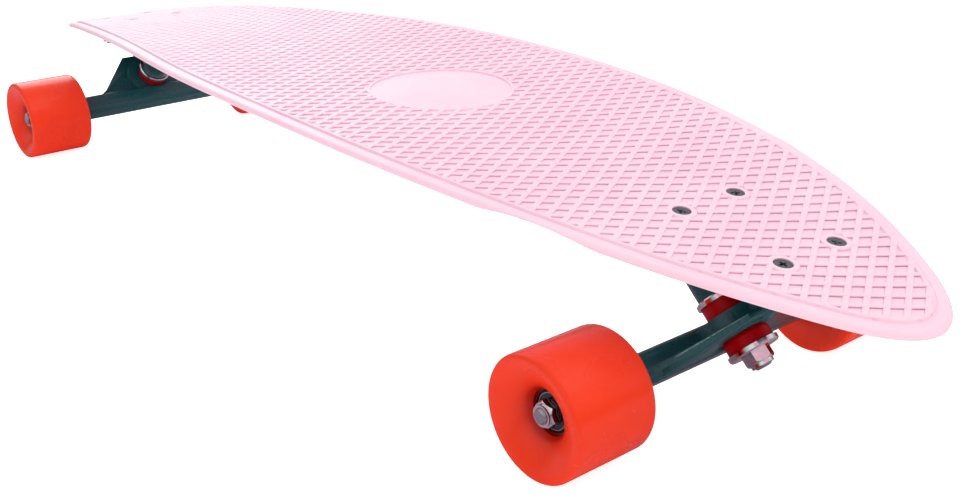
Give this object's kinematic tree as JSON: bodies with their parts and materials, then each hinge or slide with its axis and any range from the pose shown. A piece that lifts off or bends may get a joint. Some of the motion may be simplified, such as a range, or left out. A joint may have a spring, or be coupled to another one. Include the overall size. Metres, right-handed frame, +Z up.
{
  "type": "longboard skateboard",
  "caption": "Longboard skateboard with an arched moulded deck, raised diamond tread, reverse-kingpin trucks that steer as the deck leans, and wide dished wheels on sealed bearings.",
  "frame": {"origin": "on the ground below the middle of the deck", "axes": "+X towards the nose, +Y to the rider's left with the nose ahead, +Z up"},
  "size_m": [0.914, 0.2594, 0.1281],
  "materials": {
    "deck": "satin",
    "casting": "satin",
    "wheel": "gloss",
    "bushing": "satin",
    "chrome": "polished",
    "steel": "satin",
    "shield": "satin",
    "dark_bolt": "satin",
    "cup": "matte"
  },
  "bodies": {
    "deck": {"deck": "deck", "front_baseplate": "casting", "front_deck_bolts": "dark_bolt", "front_deck_nuts": "steel", "front_pivot_cup": "cup", "front_kingpin": "steel", "front_kingpin_nut": "chrome", "front_board_washer": "chrome", "front_road_washer": "chrome", "front_board_bushing": "bushing", "front_road_bushing": "bushing", "rear_baseplate": "casting", "rear_deck_bolts": "dark_bolt", "rear_deck_nuts": "steel", "rear_pivot_cup": "cup", "rear_kingpin": "steel", "rear_kingpin_nut": "chrome", "rear_board_washer": "chrome", "rear_road_washer": "chrome", "rear_board_bushing": "bushing", "rear_road_bushing": "bushing"},
    "front_truck": {"front_hanger": "casting", "front_axle": "steel", "front_axle_nuts": "chrome", "front_speed_washers": "steel", "front_right_inner_races": "steel", "front_right_spacer": "steel", "front_left_inner_races": "steel", "front_left_spacer": "steel"},
    "front_right_wheel": {"front_right_wheel": "wheel", "front_right_outer_races": "steel", "front_right_shields": "shield", "front_right_ball_rings": "steel"},
    "front_left_wheel": {"front_left_wheel": "wheel", "front_left_outer_races": "steel", "front_left_shields": "shield", "front_left_ball_rings": "steel"},
    "rear_truck": {"rear_hanger": "casting", "rear_axle": "steel", "rear_axle_nuts": "chrome", "rear_speed_washers": "steel", "rear_right_inner_races": "steel", "rear_right_spacer": "steel", "rear_left_inner_races": "steel", "rear_left_spacer": "steel"},
    "rear_right_wheel": {"rear_right_wheel": "wheel", "rear_right_outer_races": "steel", "rear_right_shields": "shield", "rear_right_ball_rings": "steel"},
    "rear_left_wheel": {"rear_left_wheel": "wheel", "rear_left_outer_races": "steel", "rear_left_shields": "shield", "rear_left_ball_rings": "steel"}
  },
  "joints": [
    {"name": "front_steer", "type": "hinge", "parent": "deck", "child": "front_truck", "pos_m": [0.34658, 0, 0.04711], "axis": [0.6827, 0, 0.7307], "range_deg": [-15, 15], "stiffness_Nm_per_rad": 40, "deforming": ["front_board_bushing", "front_road_bushing"]},
    {"name": "front_right_spin", "type": "hinge", "parent": "front_truck", "child": "front_right_wheel", "pos_m": [0.33292, -0.1042, 0.0325], "axis": [0, 1, 0], "continuous": true},
    {"name": "front_left_spin", "type": "hinge", "parent": "front_truck", "child": "front_left_wheel", "pos_m": [0.33292, 0.1042, 0.0325], "axis": [0, 1, 0], "continuous": true},
    {"name": "rear_steer", "type": "hinge", "parent": "deck", "child": "rear_truck", "pos_m": [-0.34658, 0, 0.04711], "axis": [-0.6827, 0, 0.7307], "range_deg": [-15, 15], "stiffness_Nm_per_rad": 40, "deforming": ["rear_board_bushing", "rear_road_bushing"]},
    {"name": "rear_right_spin", "type": "hinge", "parent": "rear_truck", "child": "rear_right_wheel", "pos_m": [-0.33292, -0.1042, 0.0325], "axis": [0, 1, 0], "continuous": true},
    {"name": "rear_left_spin", "type": "hinge", "parent": "rear_truck", "child": "rear_left_wheel", "pos_m": [-0.33292, 0.1042, 0.0325], "axis": [0, 1, 0], "continuous": true}
  ]
}
